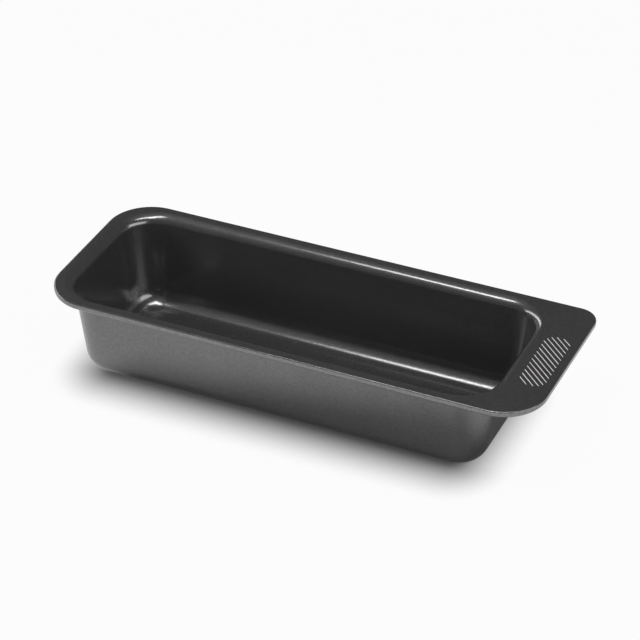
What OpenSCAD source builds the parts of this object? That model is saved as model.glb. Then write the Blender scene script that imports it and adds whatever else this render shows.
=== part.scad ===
// Loaf pan: a deep-drawn steel tub with a flat rim, a wide grip end and a rolled edge.
// Millimetres. Z is up from the table, +X runs along the pan to the grip end.
// The origin is the middle of the tub's flat underside.

/* [Overall] */
// Length over the rim, with the grip end
pan_length = 350; // [320:1:400]
// Width over the rim
pan_width = 134; // [120:1:170]
// Height from the table to the top of the rim
pan_height = 68.5; // [50:0.5:90]

/* [Sheet] */
// Thickness of the steel sheet
sheet_t = 0.6; // [0.4:0.05:0.7]
// Thickness of the non-stick layer on the sheet's inner face
coat_t = 0.15; // [0.1:0.01:0.2]

/* [Tub] */
// Width of the rim beside the tub, from the outer wall line to the rim's edge
rim_w = 10.5; // [9.5:0.1:16]
// Width of the rim at the grip end, measured the same way
grip_w = 34; // [31:0.5:50]
// Lean of the walls from upright, in degrees
wall_draft = 6.8; // [3:0.1:10]
// Plan radius of the tub's corners at the table, outside
corner_r = 19; // [17:0.5:24]
// Outer radius of the bend between the floor and the walls
bottom_bend_r = 15.5; // [6:0.5:17]
// Radius of the bend between the walls and the rim, on its coated side
top_bend_r = 7.5; // [4:0.25:8]

/* [Rim] */
// Plan radius of the rim's corners, all but one
rim_corner_r = 31; // [26:0.5:38]
// Plan radius of the grip end's back corner
grip_corner_r = 14; // [8:0.5:31]
// Height of the turned-down edge
hem_h = 4.6; // [4.3:0.1:8]
// Outer radius of the bend at the top of the turned-down edge
hem_bend_r = 1; // [0.9:0.05:1.4]

/* [Wire] */
// Diameter of the wire in the edge's roll
wire_d = 1.8; // [1.2:0.1:2.1]
// Room between the wire and the roll
wire_clear = 0.05; // [0.02:0.01:0.15]
// Gap between the wire's two ends
wire_gap = 1; // [0.5:0.5:6]

/* [Grip lines] */
// Length of the lined field, across the pan
mark_l = 57.8; // [30:0.2:70]
// Width of the lined field, along the pan
mark_w = 17.7; // [16:0.1:20]
// Radius of the lined field's corners
mark_r = 7.7; // [2:0.1:7.9]
// Distance from the lined field to the grip end's edge
mark_inset = 5.9; // [4:0.1:9]
// Distance of the field's middle behind the pan's middle line
mark_shift = -1.2; // [-6:0.1:6]
// Slant of the lines from the pan's length, in degrees
mark_angle = 43.5; // [20:0.5:70]
// Spacing of the lines, square to them
mark_pitch = 3.21; // [2:0.01:6]
// Width of one line
mark_line_w = 0.45; // [0.3:0.05:1.5]

/* [Hidden] */
$fn = 96;

// Layers are counted from the steel's outer face: steel from 0, coating from there to coat_in
coat_in = sheet_t + coat_t;

// Outer wall line: half lengths at the rim's top and at the table, and the tub's corner centres
slope = tan(wall_draft);
outward = [cos(wall_draft), -sin(wall_draft)];
mouth_x = (pan_length - rim_w - grip_w) / 2;
mouth_y = pan_width / 2 - rim_w;
corner_x = mouth_x - pan_height * slope - corner_r;
corner_y = mouth_y - pan_height * slope - corner_r;

// Bend centres, seen from a corner centre: [distance out, height]
bottom_centre = [
    corner_r + bottom_bend_r * slope - bottom_bend_r / cos(wall_draft),
    bottom_bend_r
];
under_bend_r = top_bend_r - coat_in;
rim_under = pan_height - coat_in;
top_height = rim_under - under_bend_r;
top_centre = [
    corner_r + top_height * slope + under_bend_r / cos(wall_draft),
    top_height
];

// Rim outline, and the roll along its edge
rim_x0 = -mouth_x - rim_w;
rim_x1 = mouth_x + grip_w;
rim_y = pan_width / 2;
curl_r = wire_d / 2 + wire_clear + coat_in;
curl_z = pan_height - hem_h + curl_r;
curl_turn = 270;

// Lined field: its middle, its reach square to the lines, and the lines to each side of the middle
mark_x = rim_x1 - mark_inset - mark_w / 2;
mark_reach = (mark_w / 2 - mark_r) * sin(mark_angle)
    + (mark_l / 2 - mark_r) * cos(mark_angle) + mark_r;
mark_side_lines = floor((mark_reach - mark_line_w / 2) / mark_pitch);

// Cutters stand this far past what they cut
over = 1;
// A wedge that cuts a ring has a corner at least this often, in degrees, and this many ring radii out
wedge_step = 45;
wedge_reach = 1.2;

// Corners of a rounded outline, anticlockwise: [centre x, centre y, radius, first direction]
function tub_corners(r) = [
    [corner_x, corner_y, r, 0],
    [-corner_x, corner_y, r, 90],
    [-corner_x, -corner_y, r, 180],
    [corner_x, -corner_y, r, 270]
];
function rim_corners() = [
    [rim_x1 - grip_corner_r, rim_y - grip_corner_r, grip_corner_r, 0],
    [rim_x0 + rim_corner_r, rim_y - rim_corner_r, rim_corner_r, 90],
    [rim_x0 + rim_corner_r, rim_corner_r - rim_y, rim_corner_r, 180],
    [rim_x1 - rim_corner_r, rim_corner_r - rim_y, rim_corner_r, 270]
];
function heading(a) = [cos(a), sin(a)];
function middle(c) = [c[0], c[1]];

// Part of a ring between two directions
module arc_band(r0, r1, a0, a1) {
    steps = ceil((a1 - a0) / wedge_step);
    reach = wedge_reach * r1;
    intersection() {
        difference() {
            circle(r1);
            circle(r0);
        }
        polygon(concat([[0, 0]], [for (i = [0 : steps]) reach * heading(a0 + (a1 - a0) * i / steps)]));
    }
}

// Carries a section round an outline: a quarter turn at each corner and a straight run to the next
module sweep(corners) {
    for (i = [0 : 3]) {
        c = corners[i];
        next = corners[(i + 1) % 4];
        run = (middle(next) - middle(c)) * heading(c[3] + 180);
        translate([c[0], c[1], 0]) {
            rotate([0, 0, c[3]])
                rotate_extrude(angle = 90)
                    translate([c[2], 0]) children();
            rotate([0, 0, c[3] + 90])
                rotate([90, 0, 0])
                    translate([c[2], 0, -run])
                        linear_extrude(run) children();
        }
    }
}

// Flat plate inside an outline, drawn in by inset, from z0 to z1
module rounded_plate(corners, inset, z0, z1) {
    translate([0, 0, z0])
        linear_extrude(z1 - z0)
            polygon([
                for (c = corners)
                    for (p = [
                        middle(c) + (c[2] - inset) * heading(c[3]),
                        middle(c),
                        middle(c) + (c[2] - inset) * heading(c[3] + 90)
                    ]) p
            ]);
    for (c = corners)
        translate([c[0], c[1], z0])
            rotate([0, 0, c[3]])
                rotate_extrude(angle = 90)
                    square([c[2] - inset, z1 - z0]);
}

// Section of the tub's side between two layers, seen from a corner centre
module side_section(k0, k1) {
    translate(bottom_centre)
        arc_band(bottom_bend_r - k1, bottom_bend_r - k0, -90, -wall_draft);
    polygon([
        bottom_centre + (bottom_bend_r - k0) * outward,
        top_centre - (under_bend_r + k0) * outward,
        top_centre - (under_bend_r + k1) * outward,
        bottom_centre + (bottom_bend_r - k1) * outward
    ]);
    translate(top_centre)
        arc_band(under_bend_r + k0, under_bend_r + k1, 90, 180 - wall_draft);
}

// Section of the turned-down edge between two layers, seen from the rim's outline
module hem_section(k0, k1, turn) {
    translate([-hem_bend_r, pan_height - hem_bend_r])
        arc_band(hem_bend_r - coat_in + k0, hem_bend_r - coat_in + k1, 0, 90);
    translate([k0 - coat_in, curl_z])
        square([k1 - k0, pan_height - hem_bend_r - curl_z]);
    translate([-curl_r, curl_z])
        arc_band(curl_r - coat_in + k0, curl_r - coat_in + k1, -turn, 0);
}

// One layer of the pan: floor, sides, flat rim and turned-down edge
module layer(k0, k1, turn) {
    rounded_plate(tub_corners(bottom_centre[0]), 0, k0, k1);
    sweep(tub_corners(0)) side_section(k0, k1);
    difference() {
        rounded_plate(rim_corners(), hem_bend_r, rim_under + k0, rim_under + k1);
        rounded_plate(tub_corners(top_centre[0]), 0, rim_under - over, pan_height + over);
    }
    sweep(rim_corners()) hem_section(k0, k1, turn);
}

// The lines of the grip end, through the coating
module mark_lines(z0, z1) {
    for (i = [-mark_side_lines : mark_side_lines])
        intersection() {
            translate([mark_x, mark_shift, 0])
                rounded_plate([
                    [mark_w / 2 - mark_r, mark_l / 2 - mark_r, mark_r, 0],
                    [mark_r - mark_w / 2, mark_l / 2 - mark_r, mark_r, 90],
                    [mark_r - mark_w / 2, mark_r - mark_l / 2, mark_r, 180],
                    [mark_w / 2 - mark_r, mark_r - mark_l / 2, mark_r, 270]
                ], 0, z0, z1);
            translate([mark_x, mark_shift, z0 - over])
                rotate([0, 0, -mark_angle])
                    translate([-mark_l, i * mark_pitch - mark_line_w / 2, 0])
                        cube([2 * mark_l, mark_line_w, z1 - z0 + 2 * over]);
        }
}

module steel_shell() {
    color("DimGray") layer(0, sheet_t, curl_turn);
}

module inside_coating() {
    color("DarkSlateGray")
        difference() {
            layer(sheet_t, coat_in, 90);
            mark_lines(pan_height - coat_t - over, pan_height + over);
        }
}

module grip_lines() {
    color("Gainsboro") mark_lines(pan_height - coat_t, pan_height);
}

module rim_wire() {
    color("Silver")
        difference() {
            sweep(rim_corners())
                translate([-curl_r, curl_z]) circle(d = wire_d);
            translate([-wire_gap / 2, rim_y - 2 * curl_r, curl_z - curl_r])
                cube([wire_gap, 2 * curl_r, 2 * curl_r]);
        }
}

steel_shell();
inside_coating();
grip_lines();
rim_wire();
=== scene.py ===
"""Dresses the loaf pan: its coated sheet, the roll of its edge and the pale lines of its grip end.

Metres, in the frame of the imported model: Z is up from the table, +X runs along the pan to the grip end,
and the origin is the middle of the tub's flat underside.
"""

import logging
import math
from dataclasses import dataclass
from enum import Enum
from functools import cache

import bmesh
import bpy
import numpy as np
from mathutils import Matrix, Vector


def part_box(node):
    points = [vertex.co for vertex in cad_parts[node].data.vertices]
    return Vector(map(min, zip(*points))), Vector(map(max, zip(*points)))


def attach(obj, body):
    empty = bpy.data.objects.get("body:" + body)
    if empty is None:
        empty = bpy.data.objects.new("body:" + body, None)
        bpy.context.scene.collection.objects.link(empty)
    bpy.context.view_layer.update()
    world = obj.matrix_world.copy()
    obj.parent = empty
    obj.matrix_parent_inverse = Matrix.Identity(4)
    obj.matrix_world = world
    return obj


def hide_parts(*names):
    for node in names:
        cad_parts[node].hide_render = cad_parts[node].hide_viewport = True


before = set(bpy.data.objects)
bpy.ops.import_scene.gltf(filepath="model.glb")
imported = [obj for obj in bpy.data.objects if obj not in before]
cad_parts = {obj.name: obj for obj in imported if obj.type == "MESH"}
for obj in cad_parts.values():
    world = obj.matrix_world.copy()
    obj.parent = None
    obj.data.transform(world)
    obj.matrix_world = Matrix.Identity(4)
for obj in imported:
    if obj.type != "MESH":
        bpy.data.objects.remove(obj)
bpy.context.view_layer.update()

MM = 0.001
BODY = "root"
# Attribute that marks where the turned-down edge gets its painted sheen.
EDGE_SHEEN = "painted_edge_sheen"
SHARP_FROM = math.radians(45)
LOG = logging.getLogger("loaf_pan")


class Slot(Enum):
    """The record's material slots that new pieces stand for."""

    COATED_STEEL = "coated_steel"
    NONSTICK = "nonstick"


@dataclass(frozen=True)
class PanSizes:
    """Sizes of the pressed sheet that all its layers share.

    The length, width and height come from the frame. A layer's depth is counted from the steel's outer
    face: the steel lies from 0 to sheet, and the coating from there to skin.
    """

    length: float
    width: float
    height: float
    sheet: float = 0.6 * MM
    coat: float = 0.15 * MM
    rim_w: float = 10.5 * MM
    grip_w: float = 34 * MM
    draft: float = math.radians(6.8)
    corner_r: float = 19 * MM
    floor_bend: float = 15.5 * MM
    rim_bend: float = 7.5 * MM
    rim_corner: float = 31 * MM
    grip_corner: float = 14 * MM
    hem_h: float = 4.6 * MM
    hem_bend: float = 1 * MM
    wire_d: float = 1.8 * MM
    wire_clear: float = 0.05 * MM

    @classmethod
    def from_frame(cls) -> "PanSizes":
        """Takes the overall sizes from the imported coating, the pan's outermost layer."""
        low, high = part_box("inside_coating")
        return cls(length=high.x - low.x, width=high.y - low.y, height=high.z)

    @property
    def skin(self) -> float:
        """Depth of the coated face."""
        return self.sheet + self.coat

    @property
    def slope(self) -> float:
        """Run of a wall outwards for each unit of height."""
        return math.tan(self.draft)

    @property
    def mouth(self) -> tuple[float, float]:
        """Half length and half width of the outer wall line, at the height of the rim's top."""
        return (self.length - self.rim_w - self.grip_w) / 2, self.width / 2 - self.rim_w

    @property
    def corner(self) -> tuple[float, float]:
        """Distance of the tub's corner centres from the middle, along X and Y."""
        lean = self.height * self.slope + self.corner_r
        return self.mouth[0] - lean, self.mouth[1] - lean

    @property
    def floor_centre(self) -> tuple[float, float]:
        """Centre of the bend at the floor: distance out from a corner centre, and height."""
        out = self.corner_r + self.floor_bend * (self.slope - 1 / math.cos(self.draft))
        return out, self.floor_bend

    @property
    def under_bend(self) -> float:
        """Radius of the bend at the rim on the steel's outer face."""
        return self.rim_bend - self.skin

    @property
    def rim_centre(self) -> tuple[float, float]:
        """Centre of the bend at the rim: distance out from a corner centre, and height."""
        up = self.height - self.rim_bend
        return self.corner_r + up * self.slope + self.under_bend / math.cos(self.draft), up

    @property
    def curl_r(self) -> float:
        """Radius of the edge's roll, on the coated face."""
        return self.wire_d / 2 + self.wire_clear + self.skin

    @property
    def curl_z(self) -> float:
        """Height of the middle of the edge's roll."""
        return self.height - self.hem_h + self.curl_r


@dataclass(frozen=True)
class Outline:
    """A rounded outline, walked anticlockwise: a quarter arc at each corner, then a run to the next.

    Each point of the walk has a centre, a radius and a heading, and lies at centre + radius * heading.
    On an arc the heading turns about a fixed centre. On a run the heading stays, and centre and radius
    slide in proportion to the next corner's.
    """

    corners: tuple[tuple[float, float, float], ...]
    arc_steps: int = 40
    long_steps: int = 48
    short_steps: int = 18

    def walk(self) -> tuple[np.ndarray, np.ndarray, np.ndarray]:
        """Works out the points of the walk.

        Returns:
            Centres (n, 2), radii (n,) and headings (n, 2).
        """
        sliding, turning = [], []
        for place, steps in enumerate((self.long_steps, self.short_steps) * 2):
            here = np.array(self.corners[place])
            after = np.array(self.corners[(place + 1) % 4])
            quarter = np.linspace(0, 1, self.arc_steps, endpoint=False)
            run = np.linspace(0, 1, steps, endpoint=False)
            sliding.append(np.repeat(here[None], self.arc_steps, axis=0))
            sliding.append(here + run[:, None] * (after - here))
            turning.append((place + quarter) * math.pi / 2)
            turning.append(np.full(steps, (place + 1) * math.pi / 2))
        slid = np.concatenate(sliding)
        turned = np.concatenate(turning)
        return slid[:, :2], slid[:, 2], np.stack([np.cos(turned), np.sin(turned)], axis=-1)

    def rings(self, grow: np.ndarray, heights: np.ndarray) -> np.ndarray:
        """Carries a profile round the outline: centre + (radius + grow) * heading, at the given height.

        Args:
            grow: Distance of each row outside the outline, (rows,).
            heights: Height of each row, (rows,).

        Returns:
            Points (rows, n, 3).
        """
        centres, radii, headings = self.walk()
        flat = centres + (radii + grow[:, None])[..., None] * headings
        lifted = np.broadcast_to(heights[:, None, None], flat.shape[:2] + (1,))
        return np.concatenate([flat, lifted], axis=-1)


def arc(centre: tuple[float, float], radius: float, start: float, end: float, steps: int) -> np.ndarray:
    """Points of an arc in a profile: centre + radius * (cos a, sin a), a in equal steps.

    Args:
        centre: Distance out and height of the centre.
        radius: Radius of the arc.
        start: First direction, in degrees.
        end: Last direction, in degrees.
        steps: Number of steps.

    Returns:
        Points (steps + 1, 2).
    """
    turn = np.radians(np.linspace(start, end, steps + 1))
    return np.array(centre) + radius * np.stack([np.cos(turn), np.sin(turn)], axis=-1)


def between(first: np.ndarray, last: np.ndarray, steps: int) -> np.ndarray:
    """Points first + t * (last - first) strictly between two ends, t in equal steps.

    Args:
        first: Point or row of points at one end.
        last: Point or row of points at the other end.
        steps: Number of steps from end to end.

    Returns:
        Points or rows of points, (steps - 1, ...).
    """
    share = np.linspace(0, 1, steps + 1)[1:-1]
    share = share.reshape((-1,) + (1,) * first.ndim)
    return first + share * (last - first)


@dataclass(frozen=True)
class SheetFace:
    """The pan's sheet at one depth, as a grid: columns go round the pan, rows from floor to roll.

    The edge's roll turns by roll, in degrees, and roll_steps are the steps of a full turn.
    """

    sizes: PanSizes
    depth: float
    roll: float
    bend_steps: int = 24
    wall_steps: int = 10
    flange_steps: int = 5
    floor_steps: int = 4
    hem_steps: int = 8
    skirt_steps: int = 3
    roll_steps: int = 24

    def tub_outline(self) -> Outline:
        """Outline through the tub's four corner centres."""
        x, y = self.sizes.corner
        return Outline(((x, y, 0.0), (-x, y, 0.0), (-x, -y, 0.0), (x, -y, 0.0)))

    def rim_outline(self) -> Outline:
        """Outline of the rim, whose back corner at the grip end is tighter than the others.

        Returns:
            The outline, from that corner on.
        """
        s = self.sizes
        left, right = -s.mouth[0] - s.rim_w, s.mouth[0] + s.grip_w
        back, wide, tight = s.width / 2, s.rim_corner, s.grip_corner
        return Outline((
            (right - tight, back - tight, tight),
            (left + wide, back - wide, wide),
            (left + wide, wide - back, wide),
            (right - wide, wide - back, wide),
        ))

    def side_profile(self) -> np.ndarray:
        """Floor bend, wall and rim bend in section, as distance out from a corner centre and height.

        The floor bend turns from straight down to the wall's lean about its own centre, the rim bend
        from the wall's lean to straight up about the other, and the wall is the line between them.

        Returns:
            Points (rows, 2).
        """
        s = self.sizes
        lean = math.degrees(s.draft)
        low = arc(s.floor_centre, s.floor_bend - self.depth, -90, -lean, self.bend_steps)
        top = arc(s.rim_centre, s.under_bend + self.depth, 180 - lean, 90, self.bend_steps)
        return np.concatenate([low, between(low[-1], top[0], self.wall_steps), top])

    def hem_profile(self) -> np.ndarray:
        """Turned-down edge in section, as distance outside the rim's outline and height.

        A quarter turn from the flat rim, a short upright skirt, and the roll under it.

        Returns:
            Points (rows, 2).
        """
        s = self.sizes
        inset = s.skin - self.depth
        top = arc((-s.hem_bend, s.height - s.hem_bend), s.hem_bend - inset, 90, 0, self.hem_steps)
        steps = round(self.roll_steps * self.roll / 360)
        roll = arc((-s.curl_r, s.curl_z), s.curl_r - inset, 0, -self.roll, steps)
        return np.concatenate([top, between(top[-1], roll[0], self.skirt_steps), roll])

    def points(self) -> np.ndarray:
        """The face's grid: floor from its middle line outwards, side, flat rim, turned-down edge.

        The floor's rows blend from the middle line to the foot of the side, and columns past the line's
        ends start from its end points. The rim's rows blend from the top of the side to its outline.

        Returns:
            Points (rows, n, 3).
        """
        side = self.tub_outline().rings(*self.side_profile().T)
        hem = self.rim_outline().rings(*self.hem_profile().T)
        spine = side[0].copy()
        reach = self.sizes.corner[0] - self.sizes.corner[1]
        spine[:, 0] = np.clip(spine[:, 0], -reach, reach)
        spine[:, 1] = 0
        floor = np.concatenate([spine[None], between(spine, side[0], self.floor_steps)])
        flange = between(side[-1], hem[0], self.flange_steps)
        return np.concatenate([floor, side, flange, hem])

    def edge_sheen_share(self, rows: int) -> np.ndarray:
        """Share of painted sheen of each row: it grows over the edge's first bend, is 1 past it, else 0.

        Args:
            rows: Number of rows of the grid.

        Returns:
            Shares (rows,).
        """
        first = rows - len(self.hem_profile())
        return np.clip((np.arange(rows) - first) / self.hem_steps, 0, 1)


def closed_layer(name: str, inner: SheetFace, outer: SheetFace) -> bpy.types.Object:
    """Makes a thin closed layer from its two faces, joined at the free edge.

    The rows run out along the inner face and back along the outer one, and each is closed on itself, so
    the whole layer is one grid. Points that meet on the floor's middle lines are merged. The share of
    painted sheen along the edge goes along as an attribute.

    Args:
        name: Name of the piece.
        inner: Face that looks into the pan.
        outer: Face that looks away from it.

    Returns:
        The new object, at the origin.
    """
    within = inner.points()
    grid = np.concatenate([within, outer.points()[::-1]])
    rows, columns = grid.shape[:2]
    edge = inner.edge_sheen_share(len(within))
    index = np.arange(rows * columns).reshape(rows, columns)
    ahead = np.roll(index, -1, axis=1)
    quads = np.stack([index[:-1], index[1:], ahead[1:], ahead[:-1]], axis=-1).reshape(-1, 4)
    mesh = bpy.data.meshes.new(name)
    mesh.from_pydata(grid.reshape(-1, 3), [], quads)
    sheen = mesh.attributes.new(EDGE_SHEEN, "FLOAT", "POINT")
    sheen.data.foreach_set("value", np.repeat(np.concatenate([edge, edge[::-1]]), columns))
    weld(mesh)
    mesh.polygons.foreach_set("use_smooth", np.ones(len(mesh.polygons), dtype=bool))
    mesh.set_sharp_from_angle(angle=SHARP_FROM)
    mesh.update()
    piece = bpy.data.objects.new(name, mesh)
    bpy.context.scene.collection.objects.link(piece)
    return piece


def weld(mesh: bpy.types.Mesh, reach: float = 0.001 * MM) -> None:
    """Merges points that lie on each other, and drops the faces that this leaves with no area.

    Args:
        mesh: Mesh to change.
        reach: Largest distance between points that are merged.
    """
    work = bmesh.new()
    work.from_mesh(mesh)
    bmesh.ops.remove_doubles(work, verts=work.verts, dist=reach)
    work.to_mesh(mesh)
    work.free()


class Nodes:
    """A node tree under construction."""

    def __init__(self, tree: bpy.types.NodeTree) -> None:
        """Takes an empty tree."""
        self.tree = tree

    def add(self, kind: str, settings: dict | None = None, **inputs: object) -> bpy.types.Node:
        """Adds a node.

        Args:
            kind: Blender's name of the node type.
            settings: Attributes of the node itself.
            **inputs: Value or source socket of each named input, with underscores for spaces.

        Returns:
            The new node.
        """
        node = self.tree.nodes.new(kind)
        for key, value in (settings or {}).items():
            setattr(node, key, value)
        for key, value in inputs.items():
            self.feed(node.inputs[key.replace("_", " ")], value)
        return node

    def feed(self, socket: bpy.types.NodeSocket, value: object) -> None:
        """Links an input to a source, or sets its value.

        Args:
            socket: The input.
            value: Source socket or plain value.
        """
        if isinstance(value, bpy.types.NodeSocket):
            self.tree.links.new(value, socket)
        else:
            socket.default_value = value

    def group(self, tree: bpy.types.NodeTree, **inputs: object) -> bpy.types.NodeOutputs:
        """Places a node group and returns its outputs by name."""
        return self.add("ShaderNodeGroup", {"node_tree": tree}, **inputs).outputs

    def math(self, operation: str, *values: object) -> bpy.types.NodeSocket:
        """Adds a Math node.

        Args:
            operation: Blender's name of the operation.
            *values: Value or source socket of each operand.

        Returns:
            The result.
        """
        node = self.add("ShaderNodeMath", {"operation": operation})
        for socket, value in zip(node.inputs, values):
            self.feed(socket, value)
        return node.outputs[0]

    def vector(self, operation: str, *values: object) -> bpy.types.NodeSocket:
        """Adds a Vector Math node.

        Args:
            operation: Blender's name of the operation.
            *values: Value or source socket of each operand.

        Returns:
            The result, which is a number for a length or a dot product.
        """
        node = self.add("ShaderNodeVectorMath", {"operation": operation})
        for socket, value in zip(node.inputs, values):
            self.feed(socket, value)
        return node.outputs["Value" if operation in ("LENGTH", "DOT_PRODUCT") else "Vector"]

    def rise(
        self,
        value: bpy.types.NodeSocket,
        start: float,
        end: float,
        low: float = 0.0,
        high: float = 1.0,
    ) -> bpy.types.NodeSocket:
        """Adds a Map Range node whose result goes smoothly from low at start to high at end.

        Args:
            value: Source of the value that is mapped.
            start: Value up to which the result is low.
            end: Value from which the result is high.
            low: Result at the start.
            high: Result at the end.

        Returns:
            The result.
        """
        node = self.add(
            "ShaderNodeMapRange",
            {"interpolation_type": "SMOOTHSTEP"},
            Value=value,
            From_Min=start,
            From_Max=end,
            To_Min=low,
            To_Max=high,
        )
        return node.outputs[0]


def new_material(name: str) -> tuple[bpy.types.Material, Nodes]:
    """Makes a material with an empty node tree.

    Args:
        name: Name of the material.

    Returns:
        The material and its tree.
    """
    material = bpy.data.materials.new(name)
    material.use_nodes = True
    material.node_tree.nodes.clear()
    return material, Nodes(material.node_tree)


def grey(level: float) -> tuple[float, float, float, float]:
    """A neutral colour of that linear level."""
    return (level, level, level, 1.0)


def new_group(
    name: str, inputs: tuple[str, ...], outputs: tuple[str, ...]
) -> tuple[Nodes, bpy.types.NodeOutputs, bpy.types.NodeInputs]:
    """Starts a shader node group whose sockets are all plain values.

    Args:
        name: Name of the group.
        inputs: Name of each input.
        outputs: Name of each output.

    Returns:
        The group's nodes, and what goes in and what comes out as seen from inside, by name.
    """
    group = bpy.data.node_groups.new(name, "ShaderNodeTree")
    for key in inputs:
        group.interface.new_socket(key, in_out="INPUT", socket_type="NodeSocketFloat")
    for key in outputs:
        group.interface.new_socket(key, in_out="OUTPUT", socket_type="NodeSocketFloat")
    nodes = Nodes(group)
    return nodes, nodes.add("NodeGroupInput").outputs, nodes.add("NodeGroupOutput").inputs


@cache
def flake_grain() -> bpy.types.NodeTree:
    """Fine metal flakes in a baked coating: each has its own shade, over a slightly uneven surface.

    Flakes are the cells of a Voronoi pattern. Shade is 1 on average and strays from it by Spread at
    most, and Relief is a gentle unevenness between 0 and 1 of about two flakes' width.

    Returns:
        The group, with inputs Flakes per metre and Spread, and outputs Shade and Relief.
    """
    waves_per_flake, wave_detail = 0.5, 2.0
    nodes, given, result = new_group("flake_grain", ("Flakes per metre", "Spread"), ("Shade", "Relief"))
    place = nodes.add("ShaderNodeTexCoord").outputs["Object"]
    cell = nodes.add("ShaderNodeTexVoronoi", Vector=place, Scale=given["Flakes per metre"])
    chance = nodes.add("ShaderNodeSeparateColor", Color=cell.outputs["Color"]).outputs["Red"]
    stray = nodes.math("MULTIPLY", nodes.math("MULTIPLY_ADD", chance, 2.0, -1.0), given["Spread"])
    nodes.feed(result["Shade"], nodes.math("ADD", stray, 1.0))
    waves = nodes.math("MULTIPLY", given["Flakes per metre"], waves_per_flake)
    relief = nodes.add("ShaderNodeTexNoise", Vector=place, Scale=waves, Detail=wave_detail)
    nodes.feed(result["Relief"], relief.outputs[0])
    return nodes.tree


@cache
def soft_mottle() -> bpy.types.NodeTree:
    """Slow unevenness of a finish over a few centimetres, as a value between two ends.

    The noise keeps near its middle, so a narrower range of it is stretched to the two ends.

    Returns:
        The group, with inputs Patches per metre, Low and High, and output Value.
    """
    noise_low, noise_high, noise_detail = 0.25, 0.75, 3.0
    nodes, given, result = new_group("soft_mottle", ("Patches per metre", "Low", "High"), ("Value",))
    place = nodes.add("ShaderNodeTexCoord").outputs["Object"]
    cloud = nodes.add(
        "ShaderNodeTexNoise", Vector=place, Scale=given["Patches per metre"], Detail=noise_detail
    )
    spread = nodes.add(
        "ShaderNodeMapRange",
        Value=cloud.outputs[0],
        From_Min=noise_low,
        From_Max=noise_high,
        To_Min=given["Low"],
        To_Max=given["High"],
    )
    nodes.feed(result["Value"], spread.outputs[0])
    return nodes.tree


def patchy(nodes: Nodes, patches: float, unevenness: float) -> bpy.types.NodeSocket:
    """Slow change of a finish, as a factor that strays from 1 by the unevenness at most.

    Args:
        nodes: The material's tree.
        patches: Patches per metre.
        unevenness: Largest change.

    Returns:
        The factor.
    """
    low, high = 1 - unevenness, 1 + unevenness
    return nodes.group(soft_mottle(), Patches_per_metre=patches, Low=low, High=high)["Value"]


@dataclass(frozen=True)
class CoatFinish:
    """A baked-on dark coating full of fine metal flakes.

    Flakes and patches are counted per metre. The tub's floor keeps a set share of the colour and the
    metal's shine up to the height floor_low, a painted shade, and all of it from floor_top on. The
    turned-down edge is lighter by a set gain, a painted sheen.
    """

    name: str
    tone: float
    metallic: float
    roughness: float
    flakes: float
    spread: float
    patches: float = 30
    unevenness: float = 0.04
    relief: float = 0.002 * MM
    binder_gloss: float = 0.5
    edge_sheen_gain: float = 0.0
    # Painted shade on the tub's floor: the share of colour and shine that it keeps.
    shaded_floor_share: float = 1.0
    floor_low: float = 2.3 * MM
    floor_top: float = 3.6 * MM

    def painted_floor_shade(self, nodes: Nodes) -> bpy.types.NodeSocket:
        """Share of colour and shine kept: a set share on the floor, a painted shade, all of it up the
        bend.

        Args:
            nodes: The material's tree.

        Returns:
            The share.
        """
        place = nodes.add("ShaderNodeTexCoord").outputs["Object"]
        height = nodes.add("ShaderNodeSeparateXYZ", Vector=place).outputs["Z"]
        return nodes.rise(height, self.floor_low, self.floor_top, low=self.shaded_floor_share)

    def material(self) -> bpy.types.Material:
        """Builds the material: flakes shade the colour, and patches shift colour and gloss slowly.

        The tub's floor is darker and duller, a painted shade, and the turned-down edge lighter, a painted
        sheen, where the finish says so.

        Returns:
            The finished material.
        """
        material, nodes = new_material(self.name)
        grain = nodes.group(flake_grain(), Flakes_per_metre=self.flakes, Spread=self.spread)
        change = patchy(nodes, self.patches, self.unevenness)
        shade = nodes.math("MULTIPLY", grain["Shade"], change)
        tone = nodes.math("MULTIPLY", shade, self.tone)
        metallic: float | bpy.types.NodeSocket = self.metallic
        # Painted shade: the tub's floor gets a darker colour and less metal shine.
        if self.shaded_floor_share < 1:
            left = self.painted_floor_shade(nodes)
            tone = nodes.math("MULTIPLY", tone, left)
            metallic = nodes.math("MULTIPLY", left, self.metallic)
        # Painted sheen: the turned-down edge's colour is made lighter.
        if self.edge_sheen_gain > 0:
            sheen_share = nodes.add("ShaderNodeAttribute", {"attribute_name": EDGE_SHEEN}).outputs["Fac"]
            gain = nodes.math("MULTIPLY_ADD", sheen_share, self.edge_sheen_gain, 1.0)
            tone = nodes.math("MULTIPLY", tone, gain)
        bump = nodes.add(
            "ShaderNodeBump", Height=grain["Relief"], Distance=self.relief, Strength=1.0
        )
        shader = nodes.add(
            "ShaderNodeBsdfPrincipled",
            Base_Color=tone,
            Metallic=metallic,
            Roughness=nodes.math("MULTIPLY", change, self.roughness),
            Specular_IOR_Level=self.binder_gloss,
            Normal=bump.outputs[0],
        )
        nodes.add("ShaderNodeOutputMaterial", Surface=shader.outputs[0])
        return material


@dataclass(frozen=True)
class BareFinish:
    """Metal laid bare: etched through the coating, or drawn as wire."""

    name: str
    tone: float
    metallic: float
    roughness: float
    patches: float
    unevenness: float

    def material(self) -> bpy.types.Material:
        """Builds the material, whose brightness and gloss both vary with the same patches.

        Returns:
            The finished material.
        """
        material, nodes = new_material(self.name)
        change = patchy(nodes, self.patches, self.unevenness)
        shader = nodes.add(
            "ShaderNodeBsdfPrincipled",
            Base_Color=nodes.math("MULTIPLY", change, self.tone),
            Metallic=self.metallic,
            Roughness=nodes.math("MULTIPLY", change, self.roughness),
        )
        nodes.add("ShaderNodeOutputMaterial", Surface=shader.outputs[0])
        return material


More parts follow.
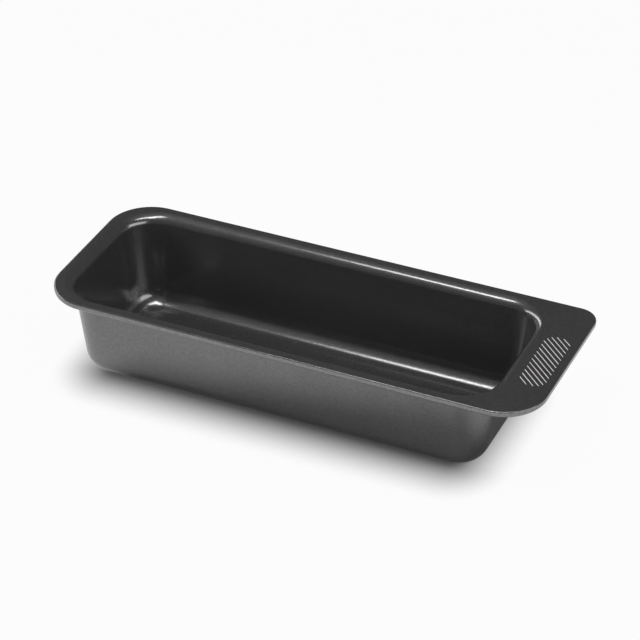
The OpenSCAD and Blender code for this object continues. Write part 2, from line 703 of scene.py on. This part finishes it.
@dataclass(frozen=True)
class PressedSheet:
    """The steel sheet and the coating on its inner face, each a closed layer.

    Faces that would touch another piece's stand back from it by coat_lift, and the rolls are in degrees.
    """

    sizes: PanSizes
    coat_lift: float = 0.03 * MM
    steel_roll: float = 270
    coat_roll: float = 90

    def build_steel(self, finish: CoatFinish) -> bpy.types.Object:
        """Makes the steel sheet, coated on its outside, in place of its plain solid.

        Args:
            finish: The outside's coating.

        Returns:
            The sheet.
        """
        inner = SheetFace(self.sizes, self.sizes.sheet - self.coat_lift, self.steel_roll)
        outer = SheetFace(self.sizes, 0, self.steel_roll)
        piece = closed_layer("pressed_sheet", inner, outer)
        return dress(piece, finish.material(), "steel_shell")

    def build_coat(self, finish: CoatFinish) -> bpy.types.Object:
        """Makes the coating, a little below the grip end's lines, in place of its plain solid.

        Args:
            finish: The coating.

        Returns:
            The coating's layer.
        """
        inner = SheetFace(self.sizes, self.sizes.skin - self.coat_lift, self.coat_roll)
        outer = SheetFace(self.sizes, self.sizes.sheet, self.coat_roll)
        piece = closed_layer("inside_coat", inner, outer)
        return dress(piece, finish.material(), "inside_coating")


def dress(
    piece: bpy.types.Object, material: bpy.types.Material, node: str
) -> bpy.types.Object:
    """Gives a new piece its material and its place in the frame.

    Args:
        piece: The new piece.
        material: Its finish.
        node: The plain solid that the piece stands for.

    Returns:
        The piece.
    """
    piece.data.materials.append(material)
    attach(piece, BODY)
    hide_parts(node)
    LOG.info("%s: %d faces, in place of %s", piece.name, len(piece.data.polygons), node)
    return piece


def refinish(node: str, material: bpy.types.Material) -> bpy.types.Object:
    """Gives a solid of the frame a better material in all its slots.

    Args:
        node: Name of the solid.
        material: Its new finish.

    Returns:
        The solid's object.
    """
    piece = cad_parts[node]
    for place in piece.material_slots:
        place.material = material
    LOG.info("%s: kept, with %s", node, material.name)
    return piece


@dataclass(frozen=True)
class View:
    """The camera, by the point it looks at, its bearing and its distance."""

    aim: tuple[float, float, float] = (13.15 * MM, -0.31 * MM, 55.95 * MM)
    azimuth: float = math.radians(24.25)
    elevation: float = math.radians(33.96)
    distance: float = 1806.7 * MM
    lens: float = 153.04
    near: float = 50 * MM

    def build(self) -> bpy.types.Object:
        """Makes the camera and sets it as the scene's.

        It stands at aim + distance * back, where back points from the aim to the camera.

        Returns:
            The camera.
        """
        level = math.cos(self.elevation)
        back = Vector((
            level * math.sin(self.azimuth),
            -level * math.cos(self.azimuth),
            math.sin(self.elevation),
        ))
        right = Vector((math.cos(self.azimuth), math.sin(self.azimuth), 0))
        turned = Matrix((right, back.cross(right), back)).transposed().to_4x4()
        data = bpy.data.cameras.new("view")
        data.lens = self.lens
        data.clip_start = self.near
        camera = bpy.data.objects.new("view", data)
        camera.matrix_world = Matrix.Translation(Vector(self.aim) + self.distance * back) @ turned
        bpy.context.scene.collection.objects.link(camera)
        bpy.context.scene.camera = camera
        return camera


@dataclass(frozen=True)
class Softbox:
    """A soft lamp: a glowing rectangle that faces the pan, and that the camera doesn't see.

    Its level is its brightness, where a white floor in plain light has 1. Its first side lies level. A
    lamp that isn't mirrored lights matt surfaces only.
    """

    name: str
    place: tuple[float, float, float]
    size: tuple[float, float]
    level: float
    mirrored: bool = True
    aim: tuple[float, float, float] = (13 * MM, 0, 30 * MM)

    def build(self) -> bpy.types.Object:
        """Makes the lamp, whose power is pi * level * its area.

        Returns:
            The lamp.
        """
        data = bpy.data.lights.new(self.name, "AREA")
        data.shape = "RECTANGLE"
        data.size, data.size_y = self.size
        data.energy = math.pi * self.level * self.size[0] * self.size[1]
        facing = (Vector(self.place) - Vector(self.aim)).to_track_quat("Z", "Y")
        lamp = bpy.data.objects.new(self.name, data)
        lamp.location = self.place
        lamp.rotation_euler = facing.to_euler()
        lamp.visible_camera = False
        lamp.visible_glossy = self.mirrored
        bpy.context.scene.collection.objects.link(lamp)
        return lamp


def bearing(azimuth: float, elevation: float, distance: float) -> tuple[float, float, float]:
    """Finds a point by its bearing from the origin.

    Args:
        azimuth: Direction in degrees, 0 at the front and 90 at the grip end.
        elevation: Height in degrees, 90 straight up.
        distance: Distance from the origin.

    Returns:
        The point.
    """
    turn, rise = math.radians(azimuth), math.radians(elevation)
    level = distance * math.cos(rise)
    return level * math.sin(turn), -level * math.cos(turn), distance * math.sin(rise)


@dataclass(frozen=True)
class PaintedShadowPatch:
    """A rectangle on the floor round which the floor's white fades in: near it the grey paper stays, a
    painted shadow of the pan.

    The fade runs between two distances from the rectangle.
    """

    middle: tuple[float, float]
    half: tuple[float, float]
    fade_from: float
    fade_to: float
    turn: float = 0.0

    def white_share(self, nodes: Nodes, place: bpy.types.NodeSocket) -> bpy.types.NodeSocket:
        """Share of white at a place: it grows smoothly with the distance from the rectangle.

        The distance is the length of max(|place - middle| - half, 0), with place - middle turned first.

        Args:
            nodes: The floor material's tree.
            place: Place on the floor.

        Returns:
            The share.
        """
        aside = nodes.vector("SUBTRACT", place, (*self.middle, 0))
        turned = nodes.add(
            "ShaderNodeVectorRotate", {"rotation_type": "Z_AXIS"}, Vector=aside, Angle=self.turn
        )
        across = nodes.vector("ABSOLUTE", turned.outputs[0])
        beyond = nodes.vector("SUBTRACT", across, (*self.half, 0))
        away = nodes.vector("LENGTH", nodes.vector("MAXIMUM", beyond, (0, 0, 0)))
        return nodes.rise(away, self.fade_from, self.fade_to)


@dataclass(frozen=True)
class Studio:
    """A pale floor, a soft tent that is brighter towards the front and the top, and a few lamps.

    The eye sees the floor dull round the pan as seen_patch says, and shiny surfaces mirror it dull as
    mirrored_patch says; both are a painted shadow, the mirrored one larger, shifted and turned. The tent
    brightens between two cosines to its axis, tent_from and tent_to.
    """

    floor_half: float = 15.0
    # Dark grey paper: where the white is held back near the pan it is a painted shadow.
    floor_tone: float = 0.37
    seen_patch: PaintedShadowPatch = PaintedShadowPatch(
        middle=(0, 0), half=(122 * MM, 40 * MM), fade_from=2 * MM, fade_to=46 * MM
    )
    mirrored_patch: PaintedShadowPatch = PaintedShadowPatch(
        middle=(30 * MM, -3 * MM),
        half=(118 * MM, 50 * MM),
        fade_from=12 * MM,
        fade_to=53 * MM,
        turn=math.radians(8.5),
    )
    white_share: float = 0.96
    tent_axis: tuple[float, float, float] = bearing(330, 75, 1)
    tent_dark: float = 0.105
    tent_bright: float = 0.44
    tent_from: float = 0.55
    tent_to: float = 1.15
    lamps: tuple[Softbox, ...] = (
        Softbox("key_strip", (-0.06, -0.265, 0.86), (0.44, 0.16), level=8.5),
        Softbox("top_panel", (0.19, -0.13, 0.88), (0.46, 0.14), level=7.0),
        Softbox("left_strip", bearing(256, 26, 2.2), (2.8, 0.33), level=5.5),
        Softbox("right_window", bearing(112, 40, 2.2), (1.8, 1.2), level=2.1, mirrored=False),
        Softbox("right_card", bearing(75, 22, 2.2), (2.2, 0.9), level=2.5),
        Softbox("front_card", (-0.62, -0.66, 0.36), (0.5, 0.36), level=2.0, mirrored=False),
        Softbox("front_low", bearing(330, 13, 2), (0.9, 0.4), level=9.0, mirrored=False),
    )

    def build_floor(self) -> bpy.types.Object:
        """Makes the floor, level with the pan's underside.

        Returns:
            The floor.
        """
        h = self.floor_half
        mesh = bpy.data.meshes.new("floor")
        mesh.from_pydata([(-h, -h, 0), (h, -h, 0), (h, h, 0), (-h, h, 0)], [], [(0, 1, 2, 3)])
        floor = bpy.data.objects.new("floor", mesh)
        bpy.context.scene.collection.objects.link(floor)
        mesh.materials.append(self.floor_material())
        return floor

    def floor_material(self) -> bpy.types.Material:
        """Grey matt paper, partly the lamps' real shadow and partly a painted shadow near the pan, that
        turns white away from it, for the eye and for shiny surfaces.

        Returns:
            The finished material.
        """
        material, nodes = new_material("pale_floor")
        place = nodes.add("ShaderNodeTexCoord").outputs["Object"]
        ray = nodes.add("ShaderNodeLightPath").outputs
        mirrored = nodes.math("MAXIMUM", ray["Is Glossy Ray"], ray["Is Transmission Ray"])
        # Painted shadow: white is held back near the pan, more widely for shiny surfaces than for the
        # eye.
        seen_white = self.seen_patch.white_share(nodes, place)
        mirrored_white = self.mirrored_patch.white_share(nodes, place)
        to_eye = nodes.math("MULTIPLY", ray["Is Camera Ray"], seen_white)
        to_metal = nodes.math("MULTIPLY", mirrored, mirrored_white)
        share = nodes.math("MULTIPLY", nodes.math("MAXIMUM", to_eye, to_metal), self.white_share)
        matt = nodes.add("ShaderNodeBsdfDiffuse", Color=grey(self.floor_tone))
        white = nodes.add("ShaderNodeEmission", Color=grey(1.0), Strength=1.0)
        mixed = nodes.add("ShaderNodeMixShader", Fac=share)
        nodes.feed(mixed.inputs[1], matt.outputs[0])
        nodes.feed(mixed.inputs[2], white.outputs[0])
        nodes.add("ShaderNodeOutputMaterial", Surface=mixed.outputs[0])
        return material

    def build_world(self) -> None:
        """Sets the tent: its brightness rises smoothly with the cosine to its axis."""
        world = bpy.data.worlds.new("soft_tent")
        world.use_nodes = True
        world.node_tree.nodes.clear()
        nodes = Nodes(world.node_tree)
        way = nodes.add("ShaderNodeTexCoord").outputs["Generated"]
        cosine = nodes.vector("DOT_PRODUCT", way, self.tent_axis)
        level = nodes.rise(cosine, self.tent_from, self.tent_to, self.tent_dark, self.tent_bright)
        glow = nodes.add("ShaderNodeBackground", Color=grey(1.0), Strength=level)
        nodes.add("ShaderNodeOutputWorld", Surface=glow.outputs[0])
        bpy.context.scene.world = world


INSIDE = CoatFinish(
    "nonstick_coat",
    tone=0.176,
    metallic=0.86,
    roughness=0.2,
    flakes=1500,
    spread=0.2,
    relief=0.001 * MM,
    binder_gloss=0.2,
    edge_sheen_gain=0.2,
    shaded_floor_share=0.32,
)
OUTSIDE = CoatFinish(
    "outside_coat", tone=0.166, metallic=0.93, roughness=0.26, flakes=1350, spread=0.13
)
LINES = BareFinish(
    "pale_line", tone=0.76, metallic=0.1, roughness=0.55, patches=400, unevenness=0.05
)
WIRE = BareFinish(
    "drawn_wire", tone=0.5, metallic=1.0, roughness=0.35, patches=150, unevenness=0.1
)


def main() -> None:
    """Builds the pan, the camera and the studio."""
    logging.basicConfig(level=logging.INFO, format="%(name)s: %(message)s")
    bpy.context.scene.view_settings.view_transform = "Standard"
    sheet = PressedSheet(PanSizes.from_frame())
    sheet.build_coat(INSIDE)
    sheet.build_steel(OUTSIDE)
    refinish("grip_lines", LINES.material())
    refinish("rim_wire", WIRE.material())
    View().build()
    studio = Studio()
    studio.build_floor()
    studio.build_world()
    for lamp in studio.lamps:
        lamp.build()


if __name__ == "__main__":
    main()
